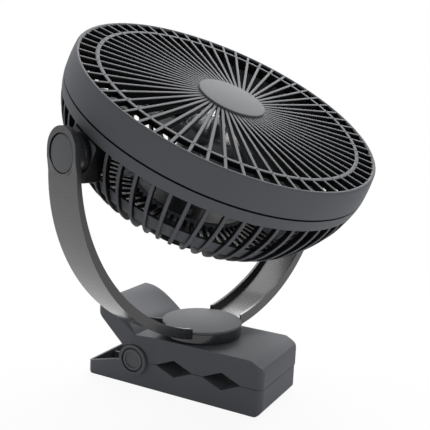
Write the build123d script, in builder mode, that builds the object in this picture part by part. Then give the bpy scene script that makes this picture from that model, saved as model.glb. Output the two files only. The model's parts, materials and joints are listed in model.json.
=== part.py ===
"""Rechargeable clip fan: spring clip, swivelling yoke, tilting caged head, driven impeller.

Millimetres, +Z up. The origin is where the swivel axis meets the plane the clip stands on;
+X runs along the clip to the nose of its jaws, the squeeze handles are at -X.
"""
import os
from math import cos, hypot, radians, sin, sqrt

from build123d import *

# ---------------------------------------------------------------- pose of the photograph
SWIVEL = 74.2            # direction of the yoke's arms about +Z, from +X
TILT = 61.5              # fan axis above the horizontal

# ---------------------------------------------------------------- fits
FACE_GAP = 0.3           # between faces of bodies that move against each other
RUN_FIT = 0.05           # radial, a pin turning in its hole
SLIP = 0.1               # radial or per side, parts of one body put into each other
WALL = 2.5               # moulded wall of the clip

# ---------------------------------------------------------------- clip
CLIP_HALF_W = 28.6
CLIP_TOP = 36.3          # flat of the upper jaw
CREASE_X = -33.4         # where the upper handle starts to rise
PART_Z = 18.0            # parting line of the jaws
JAW_GAP = 0.35           # free gap at the parting line
JAW_FRONT = 59.6
FOOT_R = 5.6             # bottom front rounding
CORNER_R = 4.5           # upright front corners
NOSE = [(60.0, 22.7), (60.1, 28.6), (58.6, 32.1), (55.4, 34.0), (51.0, CLIP_TOP)]
DIAMOND_X = (-4.0, 31.2)     # centres of the two gripping holes
DIAMOND_L = 27.2
DIAMOND_H = 11.8
GRIP_T = 2.4
HANDLE_END_X = -74.1
LOW_HANDLE = [(-46.0, 14.6), (-51.0, 14.8), (-63.7, 11.4), (HANDLE_END_X, 8.7)]
HEEL_R = 4.0
UP_END_X = -65.0         # end of the upper handle
UP_END_LOW = 47.6
UP_LOW_AT_CREASE = 18.7
UP_HALF_W = CLIP_HALF_W + 2.6     # half width of the upper handle
FLARE_X = (-19.0, -36.0)     # between these the upper jaw widens to its handle
UP_CORNER_R = 5.0
# top of the upper handle: x, height of shoulders, rise of middle (below 0 dished), rounding
UP_ARCH = [(CREASE_X, CLIP_TOP, 0.05, 0.6), (-38.0, 41.5, -0.3, 2.2), (-43.0, 46.0, -2.1, 3.6),
           (-50.0, 50.6, -3.3, 4.0), (-57.5, 53.5, -2.2, 4.0), (UP_END_X, 54.2, -0.2, 4.0)]
HINGE = (-35.1, 18.4)    # x, z of the jaw hinge
BOSS_R = 10.6
BOSS_PROUD = 3.0
BOSS_CLEAR = 0.6
EAR_IN = 20.3            # inner face of the lower jaw's ears
KNUCKLE_R = 8.0
KNUCKLE_T = 4.0
KNUCKLE_Y = (12.0, 18.0)     # middles of the knuckles, each side
AXLE_R = 3.0
AXLE_CAP_R = 7.5
CAP_RECESS_R = 8.5
CAP_RECESS = 2.2
SPRING_R = 6.2           # mean coil radius
SPRING_WIRE = 1.0        # wire radius
SPRING_TURNS = 5.5
SPRING_LEG = 10.4
LEG_DRIFT = 0.8          # how far a leg runs outward along the axle over its length
SCREW_R = 1.4
SCREW_HEAD_R = 2.6

# ---------------------------------------------------------------- swivel
COLLAR_R = 24.0
COLLAR_Z = 36.9          # top of the raised ring on the jaw
WASHER_T = 0.7
FOOT_Z = COLLAR_Z + WASHER_T + FACE_GAP      # underside of the yoke's round foot
FOOT_RADIUS = 27.5
FOOT_FLOOR = 2.5
CAP_SEAT = 43.6
SWIVEL_CAP_R = 27.2
SWIVEL_CAP_TOP = 45.1
BOLT_R = 5.0
BOLT_HEAD_R = 9.0
BOLT_HEAD_T = 2.0
SWIVEL_NUT_R = 8.0
SWIVEL_NUT_T = 4.0
PEG_R = 2.0
PEG_AT = 19.5

# ---------------------------------------------------------------- head, stations along the fan axis
HEAD_R = 102.75          # widest radius, at the seam
FAN_COUNT = 60           # ribs of the front grille, and fins of the cage
RIB_W = 1.95
RIB_TOP = 36.9
RIB_DEPTH = 3.5
RIB_TANGENT_R = 6.7      # every rib touches this circle
RIB_PHASE = 1.4
RING_R = HEAD_R - 15.25
RING_W = 2.6
HUB_R = 21.8
BADGE_R = 22.6
BADGE_TOP = 38.2
BADGE_STUD_R = 3.0
SEAM = 19.2              # station where the cover meets the cage
BAND = [(HEAD_R, SEAM), (HEAD_R - 0.35, 26.0), (HEAD_R - 0.85, 31.0), (HEAD_R - 1.55, 35.7)]
BAND_T = 2.2
LIP_W = 2.8
LIP_IN_R = BAND[-1][0] - LIP_W
LIP_TOP = 37.0
CAGE_RING = [(HEAD_R - 0.05, SEAM - 0.2), (HEAD_R - 0.55, 14.0), (HEAD_R - 1.05, 11.3)]
CAGE_RING_IN = HEAD_R - 2.35
SPIGOT_OUT = CAGE_RING_IN - 2 * SLIP
SPIGOT_T = 1.6
SPIGOT_REAR = 15.5
FIN_W = 2.15
FIN_DEPTH = 3.4
FIN_PHASE = 4.0
CAGE = [(HEAD_R - 1.15, 13.0), (HEAD_R - 1.65, 8.0), (HEAD_R - 3.85, 0.0), (HEAD_R - 7.25, -8.0),
        (HEAD_R - 11.65, -16.0), (HEAD_R - 17.15, -24.0), (HEAD_R - 24.25, -31.0),
        (HEAD_R - 29.15, -34.8)]
HOOP = [(HEAD_R - 13.35, -13.8), (HEAD_R - 19.45, -24.2)]
HOOP_T = 1.6
BACK_RING_R = 56.5
BACK_RING_W = 2.4
CENTRE_R = 41.4          # solid middle of the cage's back
CENTRE_REAR = -37.4
CAGE_BACK = [(HEAD_R - 32.25, -36.2), (CENTRE_R - 1.4, CENTRE_REAR)]
PLATE_REAR = -33.6
PLATE_FRONT = -31.2

# ---------------------------------------------------------------- yoke
LIP_R = HEAD_R + 8.55    # inner edge of the flanges, clear of the turning head
YOKE_R = LIP_R + 2.7     # outer arc
YOKE_CZ = FOOT_Z + 0.1 + YOKE_R      # height of its centre
LIP_CZ = YOKE_CZ + 4.3
PIVOT_Z = YOKE_CZ + 10.5     # height of the tilt axis
ARM_OUT = YOKE_R + 1.0   # outer face of the straight arms
ARM_STRAIGHT = YOKE_CZ + 8.0
ARM_TOP = PIVOT_Z + 15.1
YOKE_WEB = 2.7
FLANGE_T = 2.0
ARM_HALF_TOP = 13.4
ARM_HALF_LOW = 14.8
ARM_LOW_Z = 60.0

# ---------------------------------------------------------------- tilt pivots
PIVOT_BOSS_R = 12.6
PIVOT_BOSS_IN = ARM_OUT - 7.0    # inner face of the yoke's boss, from the swivel axis
PIVOT_FLOOR = PIVOT_BOSS_IN + 1.6
PIVOT_SEAT = ARM_OUT - 2.8   # floor of the cap's recess
PIVOT_RECESS_R = 11.3
PIVOT_CAP_R = 10.6
PIVOT_CAP_OUT = PIVOT_SEAT + 1.6
PIVOT_SKIRT_R = 8.4
PIVOT_SKIRT_T = 1.2
PIVOT_PIN_R = 2.5
PIVOT_HEAD_R = 5.6
PIVOT_HEAD_T = 2.0
BLOCK_HALF_W = 12.0
BLOCK_FRONT = 11.0       # stations of the cage's pivot block along the fan axis
BLOCK_REAR = -13.5
BLOCK_OUT = HEAD_R + 0.25
BLOCK_IN = BLOCK_OUT - 9.5
BLOCK_BOSS_R = 11.5
TILT_WASHER_T = 0.8

# ---------------------------------------------------------------- rear housing
HOUSING_R = 41.0
HOUSING_REAR = -55.0
HOUSING_WALL = 2.0
CELL_R = 9.2
CELL_L = 65.0
CELL_A = -43.7
CELL_X = 9.4
BOARD_X = (20.6, 32.6)
BOARD_HALF_Y = 15.5
BOARD_A = (-47.0, -45.4)
CONTROL_X = 26.6         # middle of button, lamp and inlet
BUTTON_R = 5.0
BUTTON_GAP = 0.35
BUTTON_PROUD = 1.1
BUTTON_TRAVEL = 1.0      # the switch behind it leaves room for this and a face gap
BUTTON_FLANGE_R = 6.2
BUTTON_FLANGE_T = 1.0
LAMP_Y = 10.0
LAMP_R = 1.4
INLET_Y = -10.8
INLET = (9.0, 3.2)
INLET_GAP = 0.3
POST_AT = 25.0           # screw posts, both ways
POST_R = 3.0
POSTS = [(POST_AT * i, POST_AT * j) for i in (-1, 1) for j in (-1, 1)]
SCREW_BOSS = 4.5

# ---------------------------------------------------------------- motor and impeller
MOTOR_R = 14.5
MOTOR_REAR = PLATE_FRONT
MOTOR_FRONT = -1.0
MOTOR_WALL = 1.2
MOTOR_FLANGE_R = 20.0
MOTOR_FLANGE_T = 1.5
MOTOR_SCREW_AT = 17.2
MOTOR_SCREW_R = 1.2
MOTOR_SCREWS = [(MOTOR_SCREW_AT * cos(radians(t)), MOTOR_SCREW_AT * sin(radians(t)))
                for t in (30, 150, 270)]
ROTOR_R = 10.2
BUSH_R = 3.6
BUSH_L = 3.4
SHAFT_R = 1.5
SHAFT_END = 17.5
IMPELLER_HUB_R = 21.0
IMPELLER_HUB = (-10.0, 14.0)
IMPELLER_WALL = 2.0
BLADE_COUNT = 5
BLADE_TIP_R = RING_R - 2.0
BLADE_ROOT_R = 19.8
BLADE_T = 1.8
BLADE_ROOT = (26.0, 42.0)    # chord, pitch angle at the hub
BLADE_TIP = (56.0, 24.0)     # the same at the tip
BLADE_A = 3.0                # station of the blades' middle
BLADE_SWEEP = 14.0           # the tip runs ahead of the root by this angle
BLADE_TURN = 48.0            # where the first blade stands at rest
BLADE_TALL = 30.0            # more than half the depth of the blades along the axis
NUT_R = 6.0
NUT_L = 5.0

# ---------------------------------------------------------------- frames
UP = Vector(0, 0, 1)
ARM = Vector(cos(radians(SWIVEL)), sin(radians(SWIVEL)), 0)
FACING = ARM.cross(UP)
FAN = FACING * cos(radians(TILT)) + UP * sin(radians(TILT))
CENTRE = Vector(0, 0, PIVOT_Z)
FAN_AXIS = Axis(CENTRE, FAN)
SIDEWAYS = FAN.cross(ARM)
MERIDIAN = Plane(CENTRE, x_dir=ARM, z_dir=ARM.cross(FAN))        # radius, station
ELEVATION = Plane((0, 0, 0), x_dir=ARM, z_dir=FACING)            # along the arms, height
ARM_SIDE = Plane((0, 0, 0), x_dir=FACING, z_dir=FACING.cross(UP))    # facing, height


def across(station, turn=0.0):
    """Plane square to the fan axis at a station along it."""
    x_dir = ARM.rotate(FAN_AXIS, turn) if turn else ARM
    return Plane(CENTRE + FAN * station, x_dir=x_dir, z_dir=FAN)


def along_arm(distance, end):
    """Plane square to the tilt axis in arm end (+1 or -1), its x along the fan axis."""
    return Plane(CENTRE + ARM * end * distance, x_dir=FAN, z_dir=ARM * end)


def level(z):
    """Level plane whose x runs along the yoke's arms."""
    return Plane((0, 0, z), x_dir=ARM, z_dir=UP)


def side(y):
    """Upright plane across the clip at y: local x is +X, local y is +Z."""
    return Plane((0, y, 0), x_dir=(1, 0, 0), z_dir=(0, -1, 0))


def inset(points, depth):
    """A profile moved inward, square to itself, for the inner edge of a moulded shell."""
    moved = []
    for i, (x, y) in enumerate(points):
        before, after = points[max(i - 1, 0)], points[min(i + 1, len(points) - 1)]
        dx, dy = after[0] - before[0], after[1] - before[1]
        size = hypot(dx, dy)
        moved.append((x + depth * dy / size, y - depth * dx / size))
    return moved


def save(part, name):
    """Name a finished piece and write its file."""
    part.label = name
    export_step(part, f"parts/{name}.step")
    bodies = part.solids()
    print(f"{name:18s} solids {len(bodies):3d} volume {sum(s.volume for s in bodies) / 1000:8.3f} cm3")


os.makedirs("parts", exist_ok=True)

# ================================================================ clip
LOW_TOP = PART_Z - JAW_GAP / 2
UP_LOW = PART_Z + JAW_GAP / 2


def grip_line(edge, rise):
    """Gripping edge of a jaw, nose to hinge, its two notches rise up or down from it."""
    points = []
    for x in sorted(DIAMOND_X, reverse=True):
        points += [(x + DIAMOND_L / 2, edge), (x, edge + rise), (x - DIAMOND_L / 2, edge)]
    return points


NOTCH = DIAMOND_H / 2 - JAW_GAP / 2
GRIP_FROM = -21.5
GRIP_TO = 56.4


def plan(low_z, high_z, front=JAW_FRONT, rear=HANDLE_END_X):
    """Block with the rounded plan of a jaw, to be cut out of its side profile."""
    with BuildPart() as block:
        with BuildSketch(Plane.XY.offset(low_z)):
            with Locations(((front + rear) / 2, 0)):
                Rectangle(front - rear, 2 * CLIP_HALF_W)
            corners = vertices().sort_by(Axis.X)
            fillet(corners[-2:], CORNER_R)
            fillet(vertices().sort_by(Axis.X)[:2], HEEL_R)
        extrude(amount=high_z - low_z)
    return block.part


def ear(radius, half_width):
    """Disc about the jaw hinge, through both sides of the clip."""
    with BuildPart() as disc:
        with BuildSketch(side(-half_width)):
            with Locations(HINGE):
                Circle(radius)
        extrude(amount=-2 * half_width)
    return disc.part


GRIP_MID = (GRIP_FROM + GRIP_TO) / 2
GRIP_L = GRIP_TO - GRIP_FROM
INNER_HALF = CLIP_HALF_W - WALL
BAY_END = HINGE[0] - BOSS_R - 1.0        # rear wall of the hinge bay
GRIP_SCREWS = [(x, y) for x in (13.6, 50.5) for y in (-19.0, 19.0)]
low_block = plan(-1.0, CLIP_TOP)

with BuildPart() as lower_jaw:
    with BuildSketch(side(-CLIP_HALF_W)):
        with BuildLine():
            Polyline((HANDLE_END_X, 0.0), (JAW_FRONT, 0.0), (JAW_FRONT, LOW_TOP),
                     *grip_line(LOW_TOP, -NOTCH), (HINGE[0], LOW_TOP), *LOW_HANDLE,
                     (HANDLE_END_X, 0.0))
        make_face()
        base = vertices().group_by(Axis.Y)[0].sort_by(Axis.X)
        fillet(base[-1], FOOT_R)
        fillet(vertices().group_by(Axis.Y)[0].sort_by(Axis.X)[0], HEEL_R)
    extrude(amount=-2 * CLIP_HALF_W)
    add(low_block, mode=Mode.INTERSECT)
    add(ear(BOSS_R, CLIP_HALF_W + BOSS_PROUD))
    with BuildSketch(Plane.XY.offset(WALL)):
        with Locations((GRIP_MID, 0)):
            RectangleRounded(GRIP_L, 2 * INNER_HALF, CORNER_R - WALL + SLIP)
        with Locations((HINGE[0], 0)):
            Rectangle(2 * (BOSS_R + 1.0), 2 * EAR_IN)
        with Locations(((HANDLE_END_X + WALL + BAY_END - WALL) / 2, 0)):
            Rectangle(BAY_END - HANDLE_END_X - 2 * WALL, 2 * INNER_HALF)
    extrude(amount=CLIP_TOP, mode=Mode.SUBTRACT)
    with BuildSketch(Plane.XY.offset(WALL - SLIP)):
        with Locations(((HANDLE_END_X + BAY_END) / 2, 0)):
            Rectangle(BAY_END - HANDLE_END_X - 2.0, 1.8)
        with Locations(*GRIP_SCREWS):
            Circle(SCREW_HEAD_R + 0.6)
    extrude(amount=5.0)
    add(ear(AXLE_R + SLIP / 2, CLIP_HALF_W + BOSS_PROUD), mode=Mode.SUBTRACT)
    for face in (-1, 1):
        with BuildSketch(side(face * (CLIP_HALF_W + BOSS_PROUD))):
            with Locations(HINGE):
                Circle(CAP_RECESS_R)
        extrude(amount=face * CAP_RECESS, mode=Mode.SUBTRACT)
    with BuildSketch(Plane.XY):
        with Locations(*GRIP_SCREWS):
            Circle(SCREW_HEAD_R)
    extrude(amount=1.8, mode=Mode.SUBTRACT)
    with BuildSketch(Plane.XY):
        with Locations(*GRIP_SCREWS):
            Circle(SCREW_R + SLIP)
    extrude(amount=9.0, mode=Mode.SUBTRACT)
save(lower_jaw.part, "lower_jaw")


def grip_plate(edge, rise, thick):
    """Plate along a jaw's gripping edge between its side walls, folded over the notches."""
    line = [(GRIP_TO - SLIP, edge), *grip_line(edge, rise), (GRIP_FROM + SLIP, edge)]
    deep = [(x, z + thick) for x, z in line]
    with BuildPart() as plate:
        with BuildSketch(side(-INNER_HALF + SLIP)):
            with BuildLine():
                Polyline(*line, *reversed(deep), line[0])
            make_face()
        extrude(amount=-2 * (INNER_HALF - SLIP))
        fillet(plate.edges().filter_by(Axis.Z), CORNER_R - WALL + SLIP)
    return plate.part


POST_LOW = WALL - SLIP + 5.0             # joint of the lower jaw's screw posts
with BuildPart() as lower_grip_plate:
    add(grip_plate(LOW_TOP, -NOTCH, -GRIP_T))
    with BuildSketch(Plane.XY.offset(POST_LOW)):
        with Locations(*GRIP_SCREWS):
            Circle(SCREW_HEAD_R + 0.6)
    extrude(amount=LOW_TOP - GRIP_T - POST_LOW)
    with BuildSketch(Plane.XY.offset(POST_LOW)):
        with Locations(*GRIP_SCREWS):
            Circle(SCREW_R)
    extrude(amount=6.0, mode=Mode.SUBTRACT)
save(lower_grip_plate.part, "lower_grip_plate")

with BuildPart() as lower_screws:
    with BuildSketch(Plane.XY.offset(0.4)):
        with Locations(*GRIP_SCREWS):
            Circle(SCREW_HEAD_R - SLIP)
    extrude(amount=1.4)
    with BuildSketch(Plane.XY.offset(1.8)):
        with Locations(*GRIP_SCREWS):
            Circle(SCREW_R - SLIP / 2)
    extrude(amount=10.5)
    with BuildSketch(Plane.XY.offset(0.4)):
        with Locations(*GRIP_SCREWS):
            Rectangle(3.4, 0.7)
            Rectangle(0.7, 3.4)
    extrude(amount=0.8, mode=Mode.SUBTRACT)
save(lower_screws.part, "lower_grip_screws")

# ---------------------------------------------------------------- upper jaw
TOP_IN = CLIP_TOP - WALL - 0.2


def handle_section(x, half_w, low, edge, crown, turn):
    """Cross-section of the upper handle at x: flat below, dished above, round shoulders."""
    cut = turn * (1 - cos(radians(45)))
    with BuildSketch(Plane((x, 0, 0), x_dir=(0, 1, 0), z_dir=(1, 0, 0))) as section:
        with BuildLine():
            Polyline((half_w, edge - turn), (half_w, low), (-half_w, low), (-half_w, edge - turn))
            ThreePointArc((-half_w, edge - turn), (cut - half_w, edge - cut), (turn - half_w, edge))
            ThreePointArc((turn - half_w, edge), (0, edge + crown), (half_w - turn, edge))
            ThreePointArc((half_w - turn, edge), (half_w - cut, edge - cut), (half_w, edge - turn))
        make_face()
    return section.sketch


def handle(shrink, low_drop):
    """The upper handle as a solid, or its hollow when shrunk."""
    drop = shrink * 1.24
    fall = (UP_END_LOW - UP_LOW_AT_CREASE) / (CREASE_X - UP_END_X)
    with BuildPart() as wedge:
        sections = []
        for x, edge, crown, turn in UP_ARCH:
            at = max(x, UP_END_X + shrink)
            low = UP_LOW_AT_CREASE + (CREASE_X - at) * fall - low_drop
            sections.append(handle_section(at, UP_HALF_W - shrink, low, edge - drop, crown,
                                           max(turn - shrink, 0.3)).face())
        loft(sections)
    return wedge.part


def top_plan():
    """Block with the plan of the upper jaw, widening to its handle at the rear."""
    narrow, wide = FLARE_X
    with BuildPart() as block:
        with BuildSketch(Plane.XY.offset(-1.0)):
            with BuildLine():
                Polyline((UP_END_X, -UP_HALF_W), (wide, -UP_HALF_W), (narrow, -CLIP_HALF_W),
                         (NOSE[1][0], -CLIP_HALF_W), (NOSE[1][0], CLIP_HALF_W), (narrow, CLIP_HALF_W),
                         (wide, UP_HALF_W), (UP_END_X, UP_HALF_W), (UP_END_X, -UP_HALF_W))
            make_face()
            ends = vertices().sort_by(Axis.X)
            fillet(ends[-2:], CORNER_R)
            fillet(vertices().sort_by(Axis.X)[:2], UP_CORNER_R)
            fillet(vertices().filter_by_position(Axis.X, wide - 0.1, narrow + 0.1), 12.0)
        extrude(amount=61.0)
    return block.part


hollow = handle(WALL, 12.0)
with BuildPart() as upper_jaw:
    with BuildSketch(side(-UP_HALF_W)):
        with BuildLine():
            Polyline((CREASE_X, UP_LOW), *reversed(grip_line(UP_LOW, NOTCH)), (JAW_FRONT, UP_LOW),
                     *NOSE, (CREASE_X, CLIP_TOP), (CREASE_X, UP_LOW))
        make_face()
    extrude(amount=-2 * UP_HALF_W)
    fillet(upper_jaw.edges().filter_by(Axis.Y).group_by(Axis.X)[-1], 1.5)
    add(handle(0.0, 0.0))
    add(top_plan(), mode=Mode.INTERSECT)
    with BuildSketch(side(-INNER_HALF)):
        with BuildLine():
            Polyline((CREASE_X - 0.5, -1.0), (GRIP_TO, -1.0), *inset(NOSE, -WALL)[1:4],
                     (NOSE[-1][0] - 0.8, TOP_IN), (CREASE_X - 0.5, TOP_IN), (CREASE_X - 0.5, -1.0))
        make_face()
    extrude(amount=-2 * INNER_HALF, mode=Mode.SUBTRACT)
    add(hollow, mode=Mode.SUBTRACT)
    for end in (-1, 1):
        for middle in KNUCKLE_Y:
            with BuildSketch(side(end * middle + KNUCKLE_T / 2)):
                with Locations(HINGE):
                    Circle(KNUCKLE_R)
                with Locations((HINGE[0] + 2.0, (HINGE[1] + TOP_IN + 0.4) / 2)):
                    Rectangle(KNUCKLE_R + 2.0, TOP_IN + 0.4 - HINGE[1])
            extrude(amount=KNUCKLE_T)
    add(ear(AXLE_R + RUN_FIT, EAR_IN), mode=Mode.SUBTRACT)
    with BuildSketch(Plane.XY.offset(UP_LOW + GRIP_T - 0.6)):
        with Locations(*GRIP_SCREWS):
            Circle(SCREW_HEAD_R + 0.6)
    extrude(amount=TOP_IN - UP_LOW - GRIP_T + 1.0)
    add(grip_plate(UP_LOW, NOTCH, GRIP_T), mode=Mode.SUBTRACT)
    with BuildSketch(Plane.XY.offset(CLIP_TOP - 1.0)):
        Circle(COLLAR_R)
    extrude(amount=COLLAR_Z - CLIP_TOP + 1.0)
    with BuildSketch(Plane.XY.offset(TOP_IN - 1.0)):
        Circle(BOLT_R + RUN_FIT)
    extrude(amount=8.0, mode=Mode.SUBTRACT)
    with BuildSketch(Plane.XY.offset(UP_LOW)):
        with Locations(*GRIP_SCREWS):
            Circle(SCREW_R)
    extrude(amount=11.0, mode=Mode.SUBTRACT)
    for face in (-1, 1):
        with BuildSketch(side(face * (INNER_HALF - 1.0))):
            with Locations(HINGE):
                Circle(BOSS_R + BOSS_CLEAR)
        extrude(amount=-face * 8.0, mode=Mode.SUBTRACT)
save(upper_jaw.part, "upper_jaw")

with BuildPart() as upper_grip_plate:
    add(grip_plate(UP_LOW, NOTCH, GRIP_T))
    with BuildSketch(Plane.XY.offset(UP_LOW)):
        with Locations(*GRIP_SCREWS):
            Circle(SCREW_HEAD_R)
    extrude(amount=1.6, mode=Mode.SUBTRACT)
    with BuildSketch(Plane.XY.offset(UP_LOW)):
        with Locations(*GRIP_SCREWS):
            Circle(SCREW_R + SLIP)
    extrude(amount=9.0, mode=Mode.SUBTRACT)
save(upper_grip_plate.part, "upper_grip_plate")

with BuildPart() as upper_screws:
    with BuildSketch(Plane.XY.offset(UP_LOW + 0.2)):
        with Locations(*GRIP_SCREWS):
            Circle(SCREW_HEAD_R - SLIP)
    extrude(amount=1.4)
    with BuildSketch(Plane.XY.offset(UP_LOW + 1.6)):
        with Locations(*GRIP_SCREWS):
            Circle(SCREW_R - SLIP / 2)
    extrude(amount=8.4)
    with BuildSketch(Plane.XY.offset(UP_LOW + 0.2)):
        with Locations(*GRIP_SCREWS):
            Rectangle(3.4, 0.7)
            Rectangle(0.7, 3.4)
    extrude(amount=0.8, mode=Mode.SUBTRACT)
save(upper_screws.part, "upper_grip_screws")

# ---------------------------------------------------------------- hinge
AXLE_HALF = CLIP_HALF_W + BOSS_PROUD - CAP_RECESS
with BuildPart() as axle:
    with BuildSketch(side(-AXLE_HALF)):
        with Locations(HINGE):
            Circle(AXLE_R)
    extrude(amount=-2 * AXLE_HALF)
    chamfer(axle.edges(), 0.4)
save(axle.part, "hinge_axle")

with BuildPart() as axle_caps:
    for face in (-1, 1):
        seat = side(face * AXLE_HALF)
        with BuildSketch(seat):
            with Locations(HINGE):
                Circle(AXLE_CAP_R)
        extrude(amount=-face * (CAP_RECESS - 0.2))
        rim = axle_caps.faces().sort_by(Axis.Y)[-1 if face > 0 else 0]
        fillet(rim.edges(), 0.6)
        with BuildSketch(side(face * (AXLE_HALF + CAP_RECESS - 0.2 - 0.8))):
            with Locations(HINGE):
                Circle(AXLE_CAP_R - 2.0)
        extrude(amount=-face * 2.0, mode=Mode.SUBTRACT)
save(axle_caps.part, "axle_caps")

KNUCKLE_IN = KNUCKLE_Y[0] - KNUCKLE_T / 2
SPRING_L = 2 * (KNUCKLE_IN - FACE_GAP - SPRING_WIRE - LEG_DRIFT)
with BuildPart() as spring:
    with BuildLine() as wire:
        coil = Helix(SPRING_L / SPRING_TURNS, SPRING_L, SPRING_R,
                     center=(HINGE[0], -SPRING_L / 2, HINGE[1]), direction=(0, 1, 0))
        Line(coil @ 0 - (coil % 0) * SPRING_LEG, coil @ 0)
        Line(coil @ 1, coil @ 1 + (coil % 1) * SPRING_LEG)
    start = coil @ 0 - (coil % 0) * SPRING_LEG
    with BuildSketch(Plane(start, z_dir=coil % 0)):
        Circle(SPRING_WIRE)
    sweep(path=wire.wire(), is_frenet=True)
save(spring.part, "clip_spring")
turn = [coil @ (i / (12 * SPRING_TURNS)) for i in range(int(12 * SPRING_TURNS) + 1)]
least = min((a - b).length for i, a in enumerate(turn) for b in turn[i + 8:]) - 2 * SPRING_WIRE
print(f"clip_spring least gap between its turns {least:.2f} mm")

# ================================================================ swivel
with BuildPart() as swivel_washer:
    with BuildSketch(level(COLLAR_Z)):
        Circle(COLLAR_R - 2.0)
        Circle(BOLT_HEAD_R, mode=Mode.SUBTRACT)
    extrude(amount=WASHER_T)
save(swivel_washer.part, "swivel_friction_washer")

FLOOR_TOP = FOOT_Z + FOOT_FLOOR
BOLT_END = TOP_IN - FACE_GAP - 0.9 - SWIVEL_NUT_T - 0.6
with BuildPart() as swivel_bolt:
    with BuildSketch(level(BOLT_END)):
        Circle(BOLT_R)
    extrude(amount=FLOOR_TOP - BOLT_END)
    with BuildSketch(level(FLOOR_TOP)):
        Circle(BOLT_HEAD_R)
    extrude(amount=BOLT_HEAD_T)
    chamfer(swivel_bolt.edges().filter_by(GeomType.CIRCLE).group_by(Axis.Z)[-1], 0.5)
    with BuildSketch(level(FLOOR_TOP + BOLT_HEAD_T)):
        RegularPolygon(3.4, 6)
    extrude(amount=-1.6, mode=Mode.SUBTRACT)
save(swivel_bolt.part, "swivel_bolt")

with BuildPart() as swivel_lock:
    with BuildSketch(level(TOP_IN - FACE_GAP)):
        Circle(SWIVEL_NUT_R + 1.2)
        Circle(BOLT_R + SLIP / 2, mode=Mode.SUBTRACT)
    extrude(amount=-0.9)
save(swivel_lock.part, "swivel_lock_washer")

with BuildPart() as swivel_nut:
    with BuildSketch(level(TOP_IN - FACE_GAP - 0.9)):
        RegularPolygon(SWIVEL_NUT_R, 6)
        Circle(BOLT_R, mode=Mode.SUBTRACT)
    extrude(amount=-SWIVEL_NUT_T)
save(swivel_nut.part, "swivel_nut")

# ---------------------------------------------------------------- yoke


def u_block(outer, outer_cz, arm, straight, half):
    """Solid U-shaped outline, closed over the top, half thick each way along the facing."""
    with BuildPart() as block:
        with BuildSketch(ELEVATION):
            with BuildLine():
                Polyline((-outer, outer_cz), (-arm, straight), (-arm, ARM_TOP + 20),
                         (arm, ARM_TOP + 20), (arm, straight), (outer, outer_cz))
                ThreePointArc((outer, outer_cz), (0, outer_cz - outer), (-outer, outer_cz))
            make_face()
        extrude(amount=half, both=True)
    return block.part


def arm_outline(shrink):
    """The yoke seen along its arms, made smaller all round by the flange thickness."""
    top, low = ARM_HALF_TOP - shrink, ARM_HALF_LOW - shrink
    with BuildPart() as block:
        with BuildSketch(ARM_SIDE):
            with BuildLine():
                Polyline((-top, PIVOT_Z + 2), (-low, ARM_LOW_Z), (-low, 20), (low, 20),
                         (low, ARM_LOW_Z), (top, PIVOT_Z + 2))
                ThreePointArc((top, PIVOT_Z + 2), (0, ARM_TOP - shrink), (-top, PIVOT_Z + 2))
            make_face()
        extrude(amount=YOKE_R + 10, both=True)
    return block.part


def pivot_disc(radius, start, stop):
    """Pair of discs about the tilt axis, one in each arm."""
    with BuildPart() as discs:
        for end in (-1, 1):
            with BuildSketch(along_arm(start, end)):
                Circle(radius)
            extrude(amount=stop - start)
    return discs.part


channel = (u_block(YOKE_R - YOKE_WEB, YOKE_CZ, ARM_OUT - YOKE_WEB, ARM_STRAIGHT, ARM_HALF_LOW)
           & arm_outline(FLANGE_T))
with BuildPart() as yoke:
    add(u_block(YOKE_R, YOKE_CZ, ARM_OUT, ARM_STRAIGHT, ARM_HALF_LOW))
    add(u_block(LIP_R, LIP_CZ, LIP_R, ARM_STRAIGHT, 2 * ARM_HALF_LOW), mode=Mode.SUBTRACT)
    add(arm_outline(0.0), mode=Mode.INTERSECT)
    add(channel, mode=Mode.SUBTRACT)
    with BuildSketch(level(FOOT_Z)):
        Circle(FOOT_RADIUS)
    extrude(amount=CAP_SEAT - FOOT_Z)
    with BuildSketch(level(FLOOR_TOP)):
        Circle(FOOT_RADIUS - WALL)
    extrude(amount=30, mode=Mode.SUBTRACT)
    with BuildSketch(level(CAP_SEAT)):
        Circle(FOOT_RADIUS)
    extrude(amount=30, mode=Mode.SUBTRACT)
    with BuildSketch(level(FOOT_Z)):
        Circle(FOOT_RADIUS + 20)
    extrude(amount=-30, mode=Mode.SUBTRACT)
    with BuildSketch(level(FLOOR_TOP)):
        with Locations((0, PEG_AT), (0, -PEG_AT)):
            Circle(PEG_R + 1.4)
    extrude(amount=2.0)
    with BuildSketch(level(FLOOR_TOP)):
        with Locations((0, PEG_AT), (0, -PEG_AT)):
            Circle(PEG_R + SLIP / 2)
    extrude(amount=4.0, mode=Mode.SUBTRACT)
    with BuildSketch(level(FOOT_Z)):
        Circle(BOLT_R + SLIP)
    extrude(amount=FOOT_FLOOR, mode=Mode.SUBTRACT)
    add(pivot_disc(PIVOT_BOSS_R, PIVOT_BOSS_IN, ARM_OUT - 0.6))
    add(pivot_disc(PIVOT_RECESS_R, PIVOT_SEAT, ARM_OUT + 2), mode=Mode.SUBTRACT)
    add(pivot_disc(PIVOT_SKIRT_R + SLIP, PIVOT_FLOOR, ARM_OUT + 2), mode=Mode.SUBTRACT)
    add(pivot_disc(PIVOT_PIN_R + RUN_FIT, PIVOT_BOSS_IN - 2, ARM_OUT + 2), mode=Mode.SUBTRACT)
save(yoke.part, "yoke")

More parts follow.
